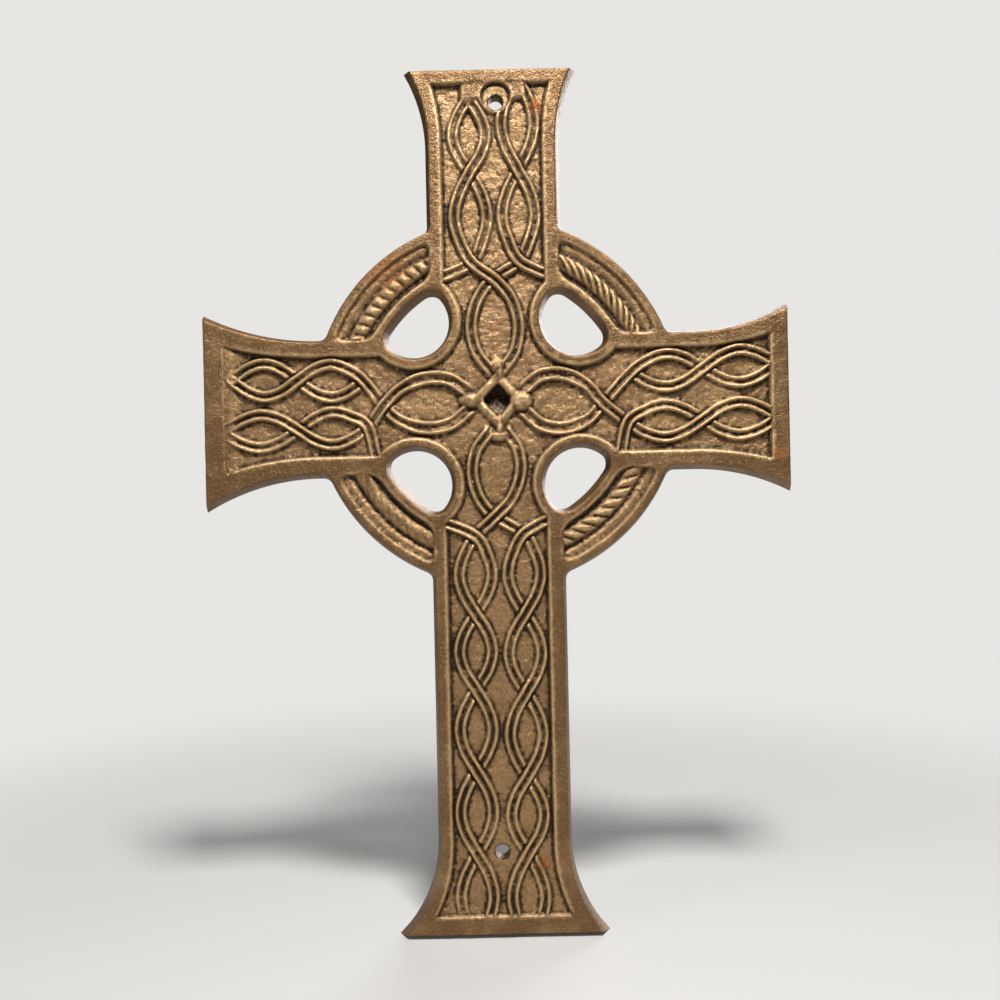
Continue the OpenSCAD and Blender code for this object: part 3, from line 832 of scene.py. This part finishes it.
def iron_material():
    mat = bpy.data.materials.new("patinated_iron")
    mat.use_nodes = True
    n = Nodes(mat.node_tree)
    shader = mat.node_tree.nodes["Principled BSDF"]
    place = n.add("NewGeometry").outputs["Position"]
    cavity = n.add("Attribute", attribute_name="cavity").outputs["Fac"]
    ground = n.add("Attribute", attribute_name="ground").outputs["Fac"]
    rust = n.add("Attribute", attribute_name="rust").outputs["Fac"]
    blotch = n.noise(place, BLOTCH, 4.0)
    speck = n.noise(place, SPECK, 2.0, 0.6)
    grain = n.noise(place, GRAIN, 5.0, 0.7)

    # The colour: patches of thin lacquer, then wear with painted highlight on the crests, dirt with painted
    # shade in the hollows, dark specks, pale specks with painted glints, and rust
    pale = n.math("ADD", blotch, n.math("MULTIPLY", n.math("SUBTRACT", ground), 0.30))
    base = n.mix(n.ramp(pale, (0.30, 0.0), (0.68, 1.0)), BRONZE, PALE)
    off_mean = n.math("SUBTRACT", grain)
    crest = n.math("ADD", cavity, n.math("MULTIPLY", off_mean, 0.25))
    hollow = n.math("ADD", cavity, n.math("MULTIPLY", off_mean, 0.3))
    # wear and painted highlight: the crests are lightened in colour
    worn = n.ramp(crest, (0.57, 0.0), (0.92, 0.65))
    # painted shade: hollows and creases are darkened in colour, along with some dirt
    shade_and_grime_mask = n.ramp(hollow, (0.12, 1.0), (0.42, 0.0))
    colour = n.mix(worn, base, WEAR_AND_HIGHLIGHT)
    colour = n.mix(shade_and_grime_mask, colour, SHADE_AND_GRIME)
    colour = n.mix(n.ramp(speck, (0.34, 0.35), (0.46, 0.0)), colour, SHADE_AND_GRIME)
    # pale specks of the grain, painted as glints
    colour = n.mix(n.ramp(speck, (0.58, 0.0), (0.74, 0.35)), colour, WEAR_AND_HIGHLIGHT)
    rusty = n.math("MULTIPLY", rust, n.ramp(grain, (0.35, 0.1), (0.6, 1.0)))
    colour = n.mix(rusty, colour, RUST)
    mat.node_tree.links.new(colour, shader.inputs["Base Color"])

    shader.inputs["Metallic"].default_value = METALLIC
    rough = n.ramp(n.math("ADD", grain, n.math("MULTIPLY", rusty, 0.4)), (0.3, 0.30), (0.8, 0.58))
    mat.node_tree.links.new(rough, shader.inputs["Roughness"])
    height = n.math("ADD", n.math("MULTIPLY", grain, 1.0), n.math("MULTIPLY", speck, 0.6))
    bump = n.add("Bump", {"Height": height, "Strength": 1.0, "Distance": BUMP_DEPTH})
    mat.node_tree.links.new(bump.outputs["Normal"], shader.inputs["Normal"])
    return mat


# Rust blooms on the casting: place, radius in mm, strength
RUST_SPOTS = [
    ((15.4, 102.6), 2.6, 1.0),
    ((-38.5, 46.5), 9.0, 0.4),
    ((97.3, -20.0), 2.4, 0.8),
    ((13.0, -160.5), 3.0, 0.7),
]
DEEP = 4.7  # what lies lower than this over the wall plane, mm, gets painted shade
CAVITY_CELLS = (3, 8)  # windows that a hollow or crest is judged by, near and wide, in grid cells
CAVITY_SHARES = (0.9, 0.15)  # how much each window counts, per mm of height
FRONT_FROM, FRONT_OVER = 3.5, 1.5  # the front's own shading starts this far from the wall, over this depth
OFF_BACK = 1.0  # the painted shade in the holes starts only this far off the back, so that its face stays clean
HOLE_SHADE_WIDTH = 1.2  # width of the painted shade round a hole
DEEP_SHADE, DEEP_OVER = 0.4, 1.5  # how much painted shade darkens the deep parts, and over what depth that grows
GROUND_EDGE = 0.3  # what lies this far below the rims starts to count as ground
RUST_EDGE = 1.3  # a rust bloom fades out at this multiple of its radius


def paint_attributes(mesh):
    """Writes on each vertex cavity (0 in hollows, 1 on crests, and lowered as painted shade in the holes and
    deep parts), ground (1 where sunk) and rust (0 to 1).
    """
    co = np.zeros(len(mesh.vertices) * 3, np.float32)
    mesh.vertices.foreach_get("co", co)
    x, y, z = co.reshape(-1, 3).T.astype(float) * MM
    near, wide = (HEIGHTS - blurred(HEIGHTS, cells) for cells in CAVITY_CELLS)
    relief = sample(near * CAVITY_SHARES[0] + wide * CAVITY_SHARES[1], x, z)
    height = sample(HEIGHTS, x, z)
    on_front = smooth((-y - FRONT_FROM) / FRONT_OVER)
    cavity = 0.5 + np.clip(relief, -0.5, 0.5) * on_front
    off_back = y < -OFF_BACK
    # painted shade in and round the holes
    cavity = np.where(off_back, np.minimum(cavity, smooth(hole_distance(x, z) / HOLE_SHADE_WIDTH)), cavity)
    # painted shade on the deep parts, such as the centre's hollow
    cavity -= DEEP_SHADE * smooth((DEEP - height) / DEEP_OVER) * off_back
    ground = smooth(RIM_T - GROUND_EDGE - height) * on_front
    rust = np.zeros(x.shape)
    for (sx, sz), radius, strength in RUST_SPOTS:
        rust = np.maximum(rust, strength * smooth(RUST_EDGE - np.hypot(x - sx, z - sz) / radius))
    for name, values in (("cavity", cavity), ("ground", ground), ("rust", rust)):
        mesh.attributes.new(name, "FLOAT", "POINT").data.foreach_set("value", values.astype(np.float32))


paint_attributes(casting.data)
casting.data.materials.clear()
casting.data.materials.append(iron_material())
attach(casting, "root")
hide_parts(NODE)

# ---- Floor ----
BACKDROP = (0.80, 0.79, 0.77, 1)  # the background, and the floor where it is far off
FLOOR = (0.58, 0.57, 0.555, 1)  # the floor near the cross, which the lamps light up to about the same
FADE_FROM, FADE_TO = 0.15, 0.5  # the floor turns into the background between these distances, m

bpy.ops.mesh.primitive_plane_add(size=6, location=(0, 0, cad_lo.z))
floor = bpy.context.object
floor.name = "floor"
floor_mat = bpy.data.materials.new("floor")
floor_mat.use_nodes = True
n = Nodes(floor_mat.node_tree)
matt = floor_mat.node_tree.nodes["Principled BSDF"]
matt.inputs["Base Color"].default_value = FLOOR
matt.inputs["Roughness"].default_value = 0.9
place = n.add("NewGeometry").outputs["Position"]
away = n.add("VectorMath", {0: place}, operation="LENGTH").outputs["Value"]
far = n.add("MapRange", {0: away, 1: FADE_FROM, 2: FADE_TO}, interpolation_type="SMOOTHSTEP").outputs[0]
shown = n.math("MULTIPLY", far, n.add("LightPath").outputs["Is Camera Ray"])
glow = n.add("Emission", {"Color": BACKDROP, "Strength": 1.0}).outputs[0]
both = n.add("MixShader", {0: shown, 1: matt.outputs[0], 2: glow}).outputs[0]
floor_mat.node_tree.links.new(both, floor_mat.node_tree.nodes["Material Output"].inputs["Surface"])
floor.data.materials.append(floor_mat)


# ---- Light and camera ----
AMBIENT = 0.07  # strength of the world as light; the camera sees it at 1


def lamp(kind, name, place, aim, power, **settings):
    data = bpy.data.lights.new(name, kind)
    data.energy = power
    for key, value in settings.items():
        setattr(data, key, value)
    obj = bpy.data.objects.new(name, data)
    bpy.context.scene.collection.objects.link(obj)
    obj.location = place
    obj.rotation_euler = (Vector(aim) - Vector(place)).to_track_quat("-Z", "Y").to_euler()


lamp("AREA", "key", (0.07, -0.33, 0.56), (0, 0, 0), 7.8, size=0.12)
lamp("SUN", "side", (-0.8, -0.5, 0.3), (0, 0, 0), 0.35, angle=math.radians(12))
lamp("SUN", "rear", (0.4, 0.9, 0.35), (0, 0, 0), 1.6, angle=math.radians(40))

world = bpy.data.worlds.new("world")
bpy.context.scene.world = world
world.use_nodes = True
n = Nodes(world.node_tree)
sky = world.node_tree.nodes["Background"]
seen = n.add("LightPath").outputs["Is Camera Ray"]
sky.inputs["Color"].default_value = BACKDROP
world.node_tree.links.new(n.ramp(seen, (0.0, AMBIENT), (1.0, 1.0)), sky.inputs["Strength"])

EYE = (0.0003, -0.353, -0.0342)  # square to the plaque, as far off as its perspective shows
ROLL = 1.25  # degrees the cross leans in the view
camera_data = bpy.data.cameras.new("camera")
camera_data.lens, camera_data.sensor_width = 36, 36
camera_data.clip_start = 0.01
camera = bpy.data.objects.new("camera", camera_data)
bpy.context.scene.collection.objects.link(camera)
camera.location = EYE
camera.rotation_euler = (math.radians(90), math.radians(ROLL), 0)
bpy.context.scene.camera = camera
bpy.context.scene.view_settings.view_transform = "Standard"
